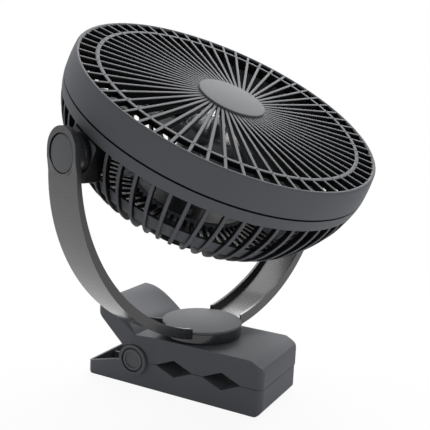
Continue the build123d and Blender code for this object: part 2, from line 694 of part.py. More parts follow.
with BuildPart() as swivel_cap:
    with BuildSketch(level(CAP_SEAT)):
        Circle(SWIVEL_CAP_R)
    extrude(amount=SWIVEL_CAP_TOP - CAP_SEAT)
    fillet(swivel_cap.edges().group_by(Axis.Z)[-1], 0.6)
    with BuildSketch(level(FLOOR_TOP)):
        with Locations((0, PEG_AT), (0, -PEG_AT)):
            Circle(PEG_R)
    extrude(amount=CAP_SEAT - FLOOR_TOP)
save(swivel_cap.part, "swivel_cap")

with BuildPart() as pivot_caps:
    add(pivot_disc(PIVOT_CAP_R, PIVOT_SEAT, PIVOT_CAP_OUT))
    fillet(pivot_caps.edges().filter_by(GeomType.CIRCLE), 0.4)
    add(pivot_disc(PIVOT_SKIRT_R, PIVOT_FLOOR + SLIP, PIVOT_SEAT))
    add(pivot_disc(PIVOT_SKIRT_R - PIVOT_SKIRT_T, PIVOT_FLOOR, PIVOT_SEAT), mode=Mode.SUBTRACT)
save(pivot_caps.part, "pivot_caps")

with BuildPart() as pivot_screws:
    add(pivot_disc(PIVOT_PIN_R, BLOCK_IN + 2.0, PIVOT_FLOOR + FACE_GAP))
    add(pivot_disc(PIVOT_HEAD_R, PIVOT_FLOOR + FACE_GAP, PIVOT_FLOOR + FACE_GAP + PIVOT_HEAD_T))
save(pivot_screws.part, "pivot_screws")

WASHER_OUT = PIVOT_BOSS_IN - FACE_GAP
WASHER_IN = WASHER_OUT - TILT_WASHER_T
with BuildPart() as tilt_washers:
    add(pivot_disc(BLOCK_BOSS_R - 0.5, WASHER_IN, WASHER_OUT))
    add(pivot_disc(PIVOT_PIN_R + SLIP, WASHER_IN - 1, WASHER_OUT + 1), mode=Mode.SUBTRACT)
save(tilt_washers.part, "tilt_friction_washers")

# ================================================================ head
with BuildPart() as front_grille:
    with BuildSketch(across(RIB_TOP - RIB_DEPTH)):
        rib_from = sqrt(HUB_R ** 2 - RIB_TANGENT_R ** 2) - 1.0
        rib_to = sqrt((LIP_IN_R + 1.0) ** 2 - RIB_TANGENT_R ** 2)
        with PolarLocations(0, FAN_COUNT, start_angle=RIB_PHASE):
            with Locations(((rib_from + rib_to) / 2, -RIB_TANGENT_R)):
                Rectangle(rib_to - rib_from, RIB_W)
        Circle(RING_R + RING_W / 2)
        Circle(RING_R - RING_W / 2, mode=Mode.SUBTRACT)
        with PolarLocations(0, FAN_COUNT, start_angle=RIB_PHASE):
            with Locations(((rib_from + rib_to) / 2, -RIB_TANGENT_R)):
                Rectangle(rib_to - rib_from, RIB_W)
        Circle(HUB_R)
    extrude(amount=RIB_DEPTH)
    with BuildSketch(MERIDIAN):
        with BuildLine():
            Spline(*BAND)
            ThreePointArc(BAND[-1], ((BAND[-1][0] + LIP_IN_R) / 2, LIP_TOP), (LIP_IN_R, BAND[-1][1]))
            Polyline((LIP_IN_R, BAND[-1][1]), (LIP_IN_R, RIB_TOP - RIB_DEPTH - 1.0),
                     (BAND[1][0] - BAND_T, BAND[1][1]), (BAND[0][0] - BAND_T, SEAM), BAND[0])
        make_face()
        with BuildLine():
            Polyline((SPIGOT_OUT, SPIGOT_REAR), (SPIGOT_OUT, SEAM + SLIP),
                     (BAND[0][0] - BAND_T + 0.6, SEAM + SLIP),
                     (BAND[1][0] - BAND_T + 0.6, BAND[1][1]), (SPIGOT_OUT - SPIGOT_T, BAND[1][1]),
                     (SPIGOT_OUT - SPIGOT_T, SPIGOT_REAR), (SPIGOT_OUT, SPIGOT_REAR))
        make_face()
    revolve(axis=FAN_AXIS)
    with BuildSketch(across(RIB_TOP)):
        Circle(BADGE_STUD_R + SLIP / 2)
    extrude(amount=-RIB_DEPTH, mode=Mode.SUBTRACT)
save(front_grille.part, "front_grille")

with BuildPart() as badge:
    with BuildSketch(across(RIB_TOP)):
        Circle(BADGE_R)
    extrude(amount=BADGE_TOP - RIB_TOP)
    fillet(badge.edges().group_by(Axis(CENTRE, FAN))[-1], 0.4)
    with BuildSketch(across(RIB_TOP)):
        Circle(BADGE_STUD_R)
    extrude(amount=-RIB_DEPTH)
save(badge.part, "hub_badge")

# ---------------------------------------------------------------- rear cage
with BuildPart() as cage:
    with BuildSketch(MERIDIAN):
        with BuildLine():
            inner = inset([*CAGE, *CAGE_BACK], FIN_DEPTH)
            Spline(*CAGE)
            Polyline(CAGE[-1], *CAGE_BACK, inner[-1])
            Polyline(inner[-1], inner[-2], inner[-3])
            Spline(*reversed(inner[:len(CAGE)]))
            Line(inner[0], CAGE[0])
        make_face()
    revolve(axis=FAN_AXIS)
    with BuildSketch(across(CENTRE_REAR - 5)):
        with PolarLocations(LIP_IN_R / 2 + 5, FAN_COUNT, start_angle=FIN_PHASE):
            Rectangle(LIP_IN_R + 10, FIN_W)
    extrude(amount=60, mode=Mode.INTERSECT)
    with BuildSketch(MERIDIAN):
        with BuildLine():
            Polyline(*CAGE_RING, (CAGE_RING_IN, CAGE_RING[-1][1]), (CAGE_RING_IN, CAGE_RING[0][1]),
                     CAGE_RING[0])
        make_face()
        with BuildLine():
            Polyline(*HOOP, *reversed(inset(HOOP, HOOP_T)), HOOP[0])
        make_face()
        with Locations((BACK_RING_R, (inner[-1][1] + CAGE_BACK[-1][1]) / 2 + 0.5)):
            Rectangle(BACK_RING_W, FIN_DEPTH - 1.2)
        with BuildLine():
            Polyline((0, PLATE_REAR), (CENTRE_R - 2.4, PLATE_REAR), (CENTRE_R - 2.4, CENTRE_REAR),
                     (CENTRE_R, CENTRE_REAR), (CENTRE_R, PLATE_FRONT), (0, PLATE_FRONT),
                     (0, PLATE_REAR))
        make_face()
    revolve(axis=FAN_AXIS)
    for end in (-1, 1):
        with BuildSketch(along_arm(BLOCK_IN, end)):
            with Locations(((BLOCK_FRONT + BLOCK_REAR) / 2, 0)):
                RectangleRounded(BLOCK_FRONT - BLOCK_REAR, 2 * BLOCK_HALF_W, 2.0)
        extrude(amount=BLOCK_OUT - BLOCK_IN)
    add(pivot_disc(BLOCK_BOSS_R, BLOCK_OUT - 1.0, WASHER_IN))
    add(pivot_disc(PIVOT_PIN_R, BLOCK_IN + 2.0, WASHER_IN + 1.0), mode=Mode.SUBTRACT)
    with BuildSketch(across(PLATE_FRONT)):
        with Locations(*POSTS):
            Circle(POST_R)
        with Locations(*MOTOR_SCREWS):
            Circle(POST_R)
    extrude(amount=SCREW_BOSS)
    with BuildSketch(across(PLATE_FRONT)):
        Circle(MOTOR_FLANGE_R + SLIP)
    extrude(amount=SCREW_BOSS, mode=Mode.SUBTRACT)
    with BuildSketch(across(PLATE_REAR)):
        with Locations(*POSTS):
            Circle(SCREW_R)
        with Locations(*MOTOR_SCREWS):
            Circle(MOTOR_SCREW_R)
    extrude(amount=PLATE_FRONT - PLATE_REAR + SCREW_BOSS - 1.0, mode=Mode.SUBTRACT)
save(cage.part, "rear_cage")

# ---------------------------------------------------------------- rear housing
WELL_FLOOR = -41.4
WALL_FRONT = HOUSING_REAR + HOUSING_WALL
INNER_R = CENTRE_R - 2.4
with BuildPart() as housing:
    with BuildSketch(across(HOUSING_REAR)):
        Circle(HOUSING_R)
    extrude(amount=CENTRE_REAR - HOUSING_REAR)
    rims = housing.edges().filter_by(GeomType.CIRCLE).sort_by(Axis(CENTRE, FAN))
    fillet(rims[0], 3.0)
    with BuildSketch(across(WALL_FRONT)):
        Circle(INNER_R)
    extrude(amount=CENTRE_REAR - WALL_FRONT, mode=Mode.SUBTRACT)
    with BuildSketch(across(WALL_FRONT)):
        with Locations(*POSTS):
            Circle(POST_R + 0.6)
    extrude(amount=PLATE_REAR - SLIP - WALL_FRONT)
    with BuildSketch(across(WALL_FRONT)):
        with Locations((BOARD_X[1] - 2.2, BOARD_HALF_Y - 1.8), (BOARD_X[1] - 2.2, 1.8 - BOARD_HALF_Y)):
            Circle(1.5)
    extrude(amount=BOARD_A[0] - WALL_FRONT)
    with BuildSketch(across(HOUSING_REAR)):
        with Locations(*POSTS):
            Circle(SCREW_HEAD_R + SLIP)
    extrude(amount=WELL_FLOOR - HOUSING_REAR, mode=Mode.SUBTRACT)
    with BuildSketch(across(HOUSING_REAR)):
        with Locations(*POSTS):
            Circle(SCREW_R + SLIP)
    extrude(amount=-HOUSING_REAR, mode=Mode.SUBTRACT)
    with BuildSketch(across(HOUSING_REAR)):
        with Locations((CONTROL_X, 0)):
            Circle(BUTTON_R + BUTTON_GAP)
        with Locations((CONTROL_X, LAMP_Y)):
            Circle(LAMP_R + SLIP / 2)
        with Locations((CONTROL_X, INLET_Y)):
            RectangleRounded(INLET[1] + 2 * INLET_GAP, INLET[0] + 2 * INLET_GAP, INLET[1] / 2 + 0.2)
    extrude(amount=HOUSING_WALL, mode=Mode.SUBTRACT)
save(housing.part, "rear_housing")

with BuildPart() as housing_screws:
    with BuildSketch(across(WELL_FLOOR)):
        with Locations(*POSTS):
            Circle(SCREW_HEAD_R - SLIP)
    extrude(amount=-1.6)
    with BuildSketch(across(WELL_FLOOR)):
        with Locations(*POSTS):
            Circle(SCREW_R - SLIP / 2)
    extrude(amount=PLATE_FRONT + SCREW_BOSS - 1.2 - WELL_FLOOR)
save(housing_screws.part, "housing_screws")

with BuildPart() as cells:
    for x in (-CELL_X, CELL_X):
        with BuildSketch(Plane(CENTRE + FAN * CELL_A + ARM * x - SIDEWAYS * CELL_L / 2,
                               x_dir=ARM, z_dir=SIDEWAYS)):
            Circle(CELL_R)
        extrude(amount=CELL_L)
    chamfer(cells.edges().filter_by(GeomType.CIRCLE), 0.6)
save(cells.part, "battery_cells")

SWITCH_H = BOARD_A[0] - (WALL_FRONT + FACE_GAP + BUTTON_FLANGE_T + BUTTON_TRAVEL + FACE_GAP)
with BuildPart() as board:
    with BuildSketch(across(BOARD_A[0])):
        with Locations((sum(BOARD_X) / 2, 0)):
            Rectangle(BOARD_X[1] - BOARD_X[0], 2 * BOARD_HALF_Y)
    extrude(amount=BOARD_A[1] - BOARD_A[0])
    with BuildSketch(across(BOARD_A[0])):
        with Locations((CONTROL_X, 0)):
            Rectangle(6.0, 6.0)
    extrude(amount=-SWITCH_H)
    with BuildSketch(across(BOARD_A[0])):
        with Locations((CONTROL_X, LAMP_Y)):
            Rectangle(2.4, 2.4)
    extrude(amount=-1.1)
save(board.part, "control_board")

with BuildPart() as inlet:
    with BuildSketch(across(BOARD_A[0])):
        with Locations((CONTROL_X, INLET_Y)):
            RectangleRounded(INLET[1], INLET[0], INLET[1] / 2 - 0.1)
    extrude(amount=HOUSING_REAR + 0.3 - BOARD_A[0])
    with BuildSketch(across(HOUSING_REAR + 0.3)):
        with Locations((CONTROL_X, INLET_Y)):
            RectangleRounded(INLET[1] - 0.8, INLET[0] - 0.8, INLET[1] / 2 - 0.5)
            Rectangle(0.7, INLET[0] - 2.4, mode=Mode.SUBTRACT)
    extrude(amount=6.0, mode=Mode.SUBTRACT)
save(inlet.part, "charging_inlet")

with BuildPart() as lamp:
    with BuildSketch(across(HOUSING_REAR)):
        with Locations((CONTROL_X, LAMP_Y)):
            Circle(LAMP_R)
    extrude(amount=BOARD_A[0] - 1.1 - SLIP - HOUSING_REAR)
    with BuildSketch(across(WALL_FRONT)):
        with Locations((CONTROL_X, LAMP_Y)):
            Circle(LAMP_R + 0.8)
    extrude(amount=1.0)
save(lamp.part, "lamp_lens")

with BuildPart() as button:
    with BuildSketch(across(HOUSING_REAR - BUTTON_PROUD)):
        with Locations((CONTROL_X, 0)):
            Circle(BUTTON_R)
    extrude(amount=BUTTON_PROUD + HOUSING_WALL + FACE_GAP)
    fillet(button.edges().group_by(Axis(CENTRE, FAN))[0], 0.6)
    with BuildSketch(across(WALL_FRONT + FACE_GAP)):
        with Locations((CONTROL_X, 0)):
            Circle(BUTTON_FLANGE_R)
    extrude(amount=BUTTON_FLANGE_T)
save(button.part, "power_button")

# ---------------------------------------------------------------- motor
PLATE = MOTOR_REAR + MOTOR_FLANGE_T
with BuildPart() as motor_can:
    with BuildSketch(MERIDIAN):
        with BuildLine():
            Polyline((0, MOTOR_REAR), (MOTOR_FLANGE_R, MOTOR_REAR), (MOTOR_FLANGE_R, PLATE),
                     (MOTOR_R, PLATE), (MOTOR_R, MOTOR_FRONT), (BUSH_R, MOTOR_FRONT),
                     (BUSH_R, MOTOR_FRONT - MOTOR_WALL), (MOTOR_R - MOTOR_WALL, MOTOR_FRONT - MOTOR_WALL),
                     (MOTOR_R - MOTOR_WALL, PLATE), (BUSH_R + 1.4, PLATE), (BUSH_R + 1.4, PLATE + BUSH_L),
                     (BUSH_R, PLATE + BUSH_L), (BUSH_R, PLATE), (0, PLATE), (0, MOTOR_REAR))
        make_face()
    revolve(axis=FAN_AXIS)
    with BuildSketch(across(MOTOR_REAR)):
        with Locations(*MOTOR_SCREWS):
            Circle(MOTOR_SCREW_R + SLIP)
    extrude(amount=MOTOR_FLANGE_T, mode=Mode.SUBTRACT)
    fillet(motor_can.edges().filter_by(GeomType.CIRCLE).group_by(Axis(CENTRE, FAN))[-1][-1], 0.5)
save(motor_can.part, "motor_can")


def ring(outer, inner, start, stop):
    """Plain ring about the fan axis."""
    with BuildPart() as body:
        with BuildSketch(across(start)):
            Circle(outer)
            Circle(inner, mode=Mode.SUBTRACT)
        extrude(amount=stop - start)
    return body.part


with BuildPart() as bushes:
    add(ring(BUSH_R, SHAFT_R + RUN_FIT, PLATE, PLATE + BUSH_L))
    add(ring(BUSH_R, SHAFT_R + RUN_FIT, MOTOR_FRONT - BUSH_L, MOTOR_FRONT + 0.6))
save(bushes.part, "motor_bushes")

save(ring(MOTOR_R - MOTOR_WALL, ROTOR_R + 0.6, PLATE + BUSH_L, MOTOR_FRONT - MOTOR_WALL - 1.4),
     "motor_magnets")
save(ring(ROTOR_R, SHAFT_R, PLATE + BUSH_L + 0.5, MOTOR_FRONT - BUSH_L - 0.5), "motor_rotor")

with BuildPart() as motor_screws:
    with BuildSketch(across(PLATE)):
        with Locations(*MOTOR_SCREWS):
            Circle(2.1)
    extrude(amount=1.4)
    with BuildSketch(across(PLATE)):
        with Locations(*MOTOR_SCREWS):
            Circle(MOTOR_SCREW_R - SLIP / 2)
    extrude(amount=-MOTOR_FLANGE_T - 2.0)
save(motor_screws.part, "motor_screws")

with BuildPart() as shaft:
    with BuildSketch(across(PLATE + FACE_GAP)):
        Circle(SHAFT_R)
    extrude(amount=SHAFT_END - PLATE - FACE_GAP)
save(shaft.part, "motor_shaft")

# ---------------------------------------------------------------- impeller


def blade_section(radius, turn, chord, pitch):
    """Cambered section of a blade, square to the radius at an angle round the fan axis."""
    outward = ARM.rotate(Axis((0, 0, 0), FAN), turn)
    where = Plane(CENTRE + FAN * BLADE_A + outward * radius, x_dir=FAN.cross(outward), z_dir=outward)
    camber, edge = 0.09 * chord, BLADE_T / 4
    with BuildSketch(where) as section:
        with BuildLine():
            ThreePointArc((-chord / 2, edge), (0, camber + BLADE_T / 2), (chord / 2, edge))
            Line((chord / 2, edge), (chord / 2, -edge))
            ThreePointArc((chord / 2, -edge), (0, camber - BLADE_T / 2), (-chord / 2, -edge))
            Line((-chord / 2, -edge), (-chord / 2, edge))
        make_face()
    return section.sketch.face().rotate(Axis(where.origin, outward), pitch)


def blade(turn):
    """One blade, from inside the hub to past the tip circle."""
    middle = (BLADE_ROOT_R + BLADE_TIP_R) / 2
    with BuildPart() as vane:
        loft([blade_section(BLADE_ROOT_R - 3.0, turn, *BLADE_ROOT),
              blade_section(middle, turn + BLADE_SWEEP * 0.4, 45.0, 31.0),
              blade_section(BLADE_TIP_R + 7.0, turn + BLADE_SWEEP, *BLADE_TIP)])
    return vane.part


HUB_REAR, HUB_FRONT = IMPELLER_HUB
HUB_IN = IMPELLER_HUB_R - IMPELLER_WALL
with BuildPart() as impeller:
    for i in range(BLADE_COUNT):
        add(blade(i * 360 / BLADE_COUNT + BLADE_TURN))
    with BuildSketch(MERIDIAN):
        with Locations((BLADE_TIP_R / 2, BLADE_A)):
            Rectangle(BLADE_TIP_R, 2 * BLADE_TALL)
    revolve(axis=FAN_AXIS, mode=Mode.INTERSECT)
    with BuildSketch(across(HUB_REAR)):
        Circle(IMPELLER_HUB_R)
    extrude(amount=HUB_FRONT - HUB_REAR)
    front = impeller.faces().filter_by(Plane(CENTRE, z_dir=FAN)).sort_by(Axis(CENTRE, FAN))[-1]
    fillet(front.edges(), 2.0)
    with BuildSketch(across(HUB_REAR - 20)):
        Circle(HUB_IN)
    extrude(amount=HUB_FRONT - IMPELLER_WALL - HUB_REAR + 20, mode=Mode.SUBTRACT)
    add(ring(5.0, SHAFT_R, HUB_FRONT - 12.0, HUB_FRONT))
    with BuildSketch(across(HUB_REAR)):
        Circle(SHAFT_R)
    extrude(amount=30, mode=Mode.SUBTRACT)
save(impeller.part, "impeller")

with BuildPart() as nut:
    with BuildSketch(across(HUB_FRONT)):
        Circle(NUT_R)
    extrude(amount=NUT_L)
    fillet(nut.edges().group_by(Axis(CENTRE, FAN))[-1], 1.5)
    with BuildSketch(across(HUB_FRONT)):
        Circle(SHAFT_R)
    extrude(amount=SHAFT_END - HUB_FRONT, mode=Mode.SUBTRACT)
save(nut.part, "impeller_nut")
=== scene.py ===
"""Dresses a rechargeable clip fan: moulded covers, caged ribs and blades, finishes and a studio.

Metres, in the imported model's own frame: +Z up along the swivel, +X towards the nose of the clip.
Profiles are written in millimetres as (radius, station) and turned into metres by mm(). A
station is a height along the axis that the profile turns about.
"""

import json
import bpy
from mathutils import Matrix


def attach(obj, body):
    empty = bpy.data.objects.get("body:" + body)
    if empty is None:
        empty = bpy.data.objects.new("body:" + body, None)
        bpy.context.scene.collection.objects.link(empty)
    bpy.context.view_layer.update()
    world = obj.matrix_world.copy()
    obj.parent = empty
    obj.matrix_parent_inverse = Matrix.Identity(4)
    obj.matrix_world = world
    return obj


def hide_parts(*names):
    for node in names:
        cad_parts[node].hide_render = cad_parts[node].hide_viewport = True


bl_info = {
    "name": "Clip Fan",
    "version": (1, 0, 0),
    "blender": (4, 5, 0),
    "location": "View3D > Sidebar > Clip Fan",
    "description": "Builds the visible pieces, finishes and stage of a rechargeable clip fan",
    "category": "Add Mesh",
}

from math import cos, pi, radians, sin, sqrt, tau

import bmesh
import bpy
from mathutils import Matrix, Vector

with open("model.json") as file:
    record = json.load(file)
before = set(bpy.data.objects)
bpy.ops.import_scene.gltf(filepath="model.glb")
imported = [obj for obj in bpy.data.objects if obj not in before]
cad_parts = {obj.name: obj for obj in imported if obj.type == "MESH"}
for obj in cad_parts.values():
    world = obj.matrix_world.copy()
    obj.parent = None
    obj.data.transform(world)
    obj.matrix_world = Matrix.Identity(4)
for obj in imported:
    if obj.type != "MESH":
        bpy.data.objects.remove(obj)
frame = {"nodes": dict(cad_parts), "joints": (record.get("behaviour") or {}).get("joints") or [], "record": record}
joints = {joint["name"]: joint for joint in frame["joints"]}
MM = 0.001
WELD = 2e-6
CLOSE = 1e-4
UP = Vector((0, 0, 1))
CENTRE = Vector(joints["head_tilt"]["pos_m"])
ARM = Vector(joints["head_tilt"]["axis"]).normalized()
FAN = Vector(joints["impeller_spin"]["axis"]).normalized()
HINGE = Vector(joints["jaw_hinge"]["pos_m"])


def place(origin, x, z):
    """Matrix that sets a piece made about the local Z axis at origin, its local X along x."""
    return Matrix.Translation(origin) @ Matrix((x, z.cross(x), z)).transposed().to_4x4()


HEAD = place(CENTRE, ARM, FAN)
FOOT = place(Vector((0, 0, 0)), ARM, UP)

# ---------------------------------------------------------------- sizes and colours
class ClipFanSizes(bpy.types.PropertyGroup):
    """Sizes of the moulded details."""

    rib_width: bpy.props.FloatProperty(
        name="Rib Width", description="Width of the front cover's ribs",
        default=0.00195, min=0.001, max=0.004, unit="LENGTH")
    fin_width: bpy.props.FloatProperty(
        name="Fin Width", description="Width of the rear cage's fins",
        default=0.00215, min=0.001, max=0.004, unit="LENGTH")
    rib_round: bpy.props.FloatProperty(
        name="Rib Rounding", description="Rounding along the edges of ribs and fins",
        default=0.00035, min=0.0, max=0.0009, unit="LENGTH")
    case_round: bpy.props.FloatProperty(
        name="Case Rounding", description="Rounding of the clip's and yoke's edges",
        default=0.0006, min=0.0, max=0.0015, unit="LENGTH")
    blade_thickness: bpy.props.FloatProperty(
        name="Blade Thickness", description="Thickness at the middle of an impeller blade",
        default=0.0018, min=0.001, max=0.003, unit="LENGTH")
    turns: bpy.props.IntProperty(
        name="Roundness", description="Faces round each large circle",
        default=180, min=48, max=360)


class ClipFanColours(bpy.types.PropertyGroup):
    """Colours and gloss of the finishes."""

    case: bpy.props.FloatVectorProperty(
        name="Case", description="Charcoal of the grained case plastic",
        default=(0.0075, 0.0082, 0.0096), min=0.0, max=1.0, size=3, subtype="COLOR")
    cap: bpy.props.FloatVectorProperty(
        name="Caps", description="Charcoal of the smooth caps",
        default=(0.010, 0.0105, 0.0115), min=0.0, max=1.0, size=3, subtype="COLOR")
    impeller: bpy.props.FloatVectorProperty(
        name="Impeller", description="Colour of the polished impeller",
        default=(0.003, 0.0033, 0.004), min=0.0, max=1.0, size=3, subtype="COLOR")
    gloss: bpy.props.FloatProperty(
        name="Case Gloss", description="How glossy the case plastic is, from matt to polished",
        default=0.84, min=0.0, max=1.0, subtype="FACTOR")


class ClipFanStudio(bpy.types.PropertyGroup):
    """Level of each lamp, where 1 is white."""

    top: bpy.props.FloatProperty(
        name="Top Panel", description="Brightness of the panel above and behind",
        default=5.5, min=0.0, max=10.0)
    back: bpy.props.FloatProperty(
        name="Back Panel", description="Brightness of the low panel behind",
        default=2.6, min=0.0, max=10.0)
    right: bpy.props.FloatProperty(
        name="Right Panel", description="Brightness of the panel on the nose's side",
        default=0.9, min=0.0, max=10.0)
    left: bpy.props.FloatProperty(
        name="Left Panel", description="Brightness of the panel over the floor on the left",
        default=2.2, min=0.0, max=10.0)
    front: bpy.props.FloatProperty(
        name="Front Panel", description="Brightness of the fill beside the camera",
        default=0.25, min=0.0, max=10.0)
    room: bpy.props.FloatProperty(
        name="Room", description="Level of the even light from all sides",
        default=0.30, min=0.0, max=2.0)


# ---------------------------------------------------------------- shader maths
class Value:
    """A node's output in an expression: each operator adds the Math node it stands for."""

    def __init__(self, nodes, socket):
        self.nodes, self.socket = nodes, socket

    def __add__(self, other):
        return self.nodes.math("ADD", self, other)

    def __radd__(self, other):
        return self.nodes.math("ADD", other, self)

    def __rsub__(self, other):
        return self.nodes.math("SUBTRACT", other, self)

    def __mul__(self, other):
        return self.nodes.math("MULTIPLY", self, other)

    def above(self, edge, width):
        """0 below edge, 1 from edge + width up."""
        return self.nodes.node("ShaderNodeMapRange", {"interpolation_type": "SMOOTHSTEP"},
                               {"Value": self, "From Min": edge, "From Max": edge + width})

    def beside(self, output):
        """Another output of the same node."""
        return Value(self.nodes, self.socket.node.outputs[output])


class Nodes:
    """A node tree that expressions add nodes to."""

    def __init__(self, tree):
        self.tree = tree

    def feed(self, node, inputs):
        for key, value in inputs.items():
            if isinstance(value, Value):
                self.tree.links.new(value.socket, node.inputs[key])
            else:
                node.inputs[key].default_value = value

    def node(self, kind, settings, inputs, output=0):
        """Adds one node: its settings, then the values or links of its sockets."""
        made = self.tree.nodes.new(kind)
        for key, value in settings.items():
            setattr(made, key, value)
        self.feed(made, inputs)
        return Value(self, made.outputs[output])

    def math(self, operation, *terms):
        return self.node("ShaderNodeMath", {"operation": operation}, dict(enumerate(terms)))


class Recipe(Nodes):
    """A material in the making."""

    def __init__(self, name, settings):
        self.material = bpy.data.materials.new(name)
        self.material.use_nodes = True
        super().__init__(self.material.node_tree)
        self.shader = self.tree.nodes["Principled BSDF"]
        self.feed(self.shader, settings)
        where = self.node("ShaderNodeTexCoord", {}, {}, "Object")
        self.where = self.node("ShaderNodeMapping", {}, {"Vector": where, "Location": -CENTRE})

    def noise(self, scale, detail, where=None):
        return self.node("ShaderNodeTexNoise", {},
                         {"Vector": where or self.where, "Scale": scale, "Detail": detail})

    def blend(self, factor, low, high):
        return self.node("ShaderNodeMix", {"data_type": "RGBA"}, {0: factor, 6: low, 7: high}, 2)

    def bump(self, height, distance, strength, under=None):
        inputs = {"Height": height, "Distance": distance, "Strength": strength}
        if under:
            inputs["Normal"] = under
        return self.node("ShaderNodeBump", {}, inputs)

    def done(self, tone, rough, relief=None):
        """Links the colour, the roughness and any relief, and gives the material."""
        self.feed(self.shader, {"Base Color": tone, "Roughness": rough})
        if relief:
            self.feed(self.shader, {"Normal": relief})
        return self.material


def tint(colour, factor=1.0):
    """An opaque colour, brighter or darker by factor."""
    return (*(min(1.0, part * factor) for part in colour), 1.0)


def moulded(name, colour, rough, grain, level, coat=0.0):
    """Moulded plastic: fine spark-eroded grain, faint flow marks and handling sheen."""
    recipe = Recipe(name, {"Specular IOR Level": level, "IOR": 1.5, "Coat Roughness": 0.12,
                           "Coat Weight": coat})
    flow = recipe.noise(22.0, 3.0)
    cloud = recipe.noise(140.0, 4.0)
    pits = recipe.noise(1900.0, 1.0)
    speck = recipe.noise(700.0, 0.0).above(0.70, 0.06)
    tone = recipe.blend(flow * 0.6 + cloud * 0.4, tint(colour, 0.88), tint(colour, 1.14))
    relief = recipe.bump(pits, 0.00012 * grain, 0.5, recipe.bump(cloud, 0.0002 * grain, 0.18))
    return recipe.done(recipe.blend(speck * 0.25, tone, tint(colour, 1.9)),
                       rough - 0.06 + flow * 0.08 + cloud * 0.05 + speck * 0.08, relief)


def metal(name, colour, rough, along=(1, 1, 1), stain=0.12):
    """Plated or turned metal with fine drag lines along one axis."""
    recipe = Recipe(name, {"Metallic": 1.0})
    drawn = recipe.node("ShaderNodeMapping", {}, {"Vector": recipe.where, "Scale": Vector(along)})
    lines = recipe.noise(900.0, 3.0, drawn)
    patch = recipe.noise(160.0, 3.0)
    tone = recipe.blend(patch * 0.7 + lines * 0.3,
                        tint(colour, 1 - stain), tint(colour, 1 + stain))
    return recipe.done(tone, rough - 0.08 + patch * 0.10 + lines * 0.08,
                       recipe.bump(lines, 0.00004, 0.4))


def rubber(name, colour):
    """Matt rubber with a dusty bloom."""
    recipe = Recipe(name, {"Specular IOR Level": 0.35})
    bloom = recipe.noise(90.0, 5.0)
    skin = recipe.noise(1300.0, 2.0)
    tone = recipe.blend(bloom.above(0.45, 0.3), tint(colour), tint(colour, 1.5))
    return recipe.done(tone, 0.62 + bloom * 0.2, recipe.bump(skin, 0.00008, 0.4))


def wound(name, enamel, copper):
    """Rotor: bands of enamelled wire between dark laminations."""
    recipe = Recipe(name, {"Metallic": 0.7})
    turns = recipe.node("ShaderNodeTexWave", {"wave_type": "BANDS", "bands_direction": "DIAGONAL"},
                        {"Vector": recipe.where, "Scale": 520.0, "Distortion": 1.5})
    patch = recipe.noise(260.0, 2.0)
    tone = recipe.blend(turns.above(0.3, 0.4), tint(enamel), tint(copper))
    return recipe.done(tone, 0.35 + patch * 0.2, recipe.bump(turns, 0.0002, 0.6))


def solder_mask(name, track, lacquer):
    """Circuit board: tracks under green lacquer."""
    recipe = Recipe(name, {"Coat Weight": 0.4, "Coat Roughness": 0.1})
    tracks = recipe.node("ShaderNodeTexBrick", {"offset": 0.35},
                         {"Vector": recipe.where, "Scale": 210.0, "Mortar Size": 0.03})
    weave = recipe.noise(1500.0, 1.0)
    tone = recipe.blend(1 - tracks.beside("Fac"), tint(track), tint(lacquer))
    return recipe.done(tone, 0.30 + weave * 0.15, recipe.bump(tracks, 0.00005, 0.4))


def shrink_wrap(name, dark, light):
    """Cells in blue shrink film, puckered and glossy."""
    recipe = Recipe(name, {"Coat Weight": 0.5, "Coat Roughness": 0.08})
    pucker = recipe.noise(180.0, 4.0)
    tone = recipe.blend(pucker, tint(dark), tint(light))
    return recipe.done(tone, 0.22 + pucker * 0.18, recipe.bump(pucker, 0.0003, 0.35))


def frosted(name, dark, light):
    """Lamp lens: milky clear plastic."""
    recipe = Recipe(name, {"Transmission Weight": 0.35, "IOR": 1.49})
    haze = recipe.noise(900.0, 2.0)
    return recipe.done(recipe.blend(haze, tint(dark), tint(light)), 0.18 + haze * 0.15)


def finish(look):
    """The material of a slot of the record, or of one of the two looks that only the scene has.

    arm_plastic is the yoke's smoother case plastic. The other look is a darker, duller copy of the
    case plastic: painted shade for faces that look into gaps and for the housing inside the head.
    Each material is made the first time it is asked for.
    """
    known = bpy.data.materials.get(look)
    if known:
        return known
    colours = bpy.context.scene.clip_fan_colours
    rough = 0.85 - 0.75 * colours.gloss
    make, *settings = {
        "case_plastic": (moulded, colours.case, rough, 0.8, 0.55),
        "cap_plastic": (moulded, colours.cap, rough - 0.06, 0.3, 0.7, 0.45),
        "arm_plastic": (moulded, colours.case, rough + 0.04, 0.08, 0.75, 0.35),
        # painted shade: a darker, duller copy of the case plastic for faces in gaps and inside the head
        "shaded_plastic": (moulded, colours.impeller, rough + 0.14, 0.8, 0.2),
        "impeller_plastic": (moulded, colours.impeller, 0.28, 0.15, 0.45, 0.15),
        "washer_rubber": (rubber, (0.030, 0.030, 0.032)),
        "button_rubber": (rubber, (0.045, 0.047, 0.050)),
        "steel": (metal, (0.42, 0.43, 0.45), 0.42, (1, 1, 14)),
        "bronze": (metal, (0.50, 0.33, 0.15), 0.42),
        "magnet": (metal, (0.10, 0.10, 0.105), 0.55, (1, 1, 1), 0.25),
        "rotor": (wound, (0.09, 0.05, 0.03), (0.45, 0.20, 0.07)),
        "cell_wrap": (shrink_wrap, (0.03, 0.12, 0.26), (0.05, 0.17, 0.34)),
        "board": (solder_mask, (0.05, 0.20, 0.09), (0.02, 0.10, 0.05)),
        "lens": (frosted, (0.72, 0.75, 0.77), (0.82, 0.84, 0.85)),
    }[look]
    return make(look, *settings)


# ---------------------------------------------------------------- modelling
def mm(*points):
    """Points written in millimetres, in metres."""
    return [tuple(part * MM for part in point) for point in points]


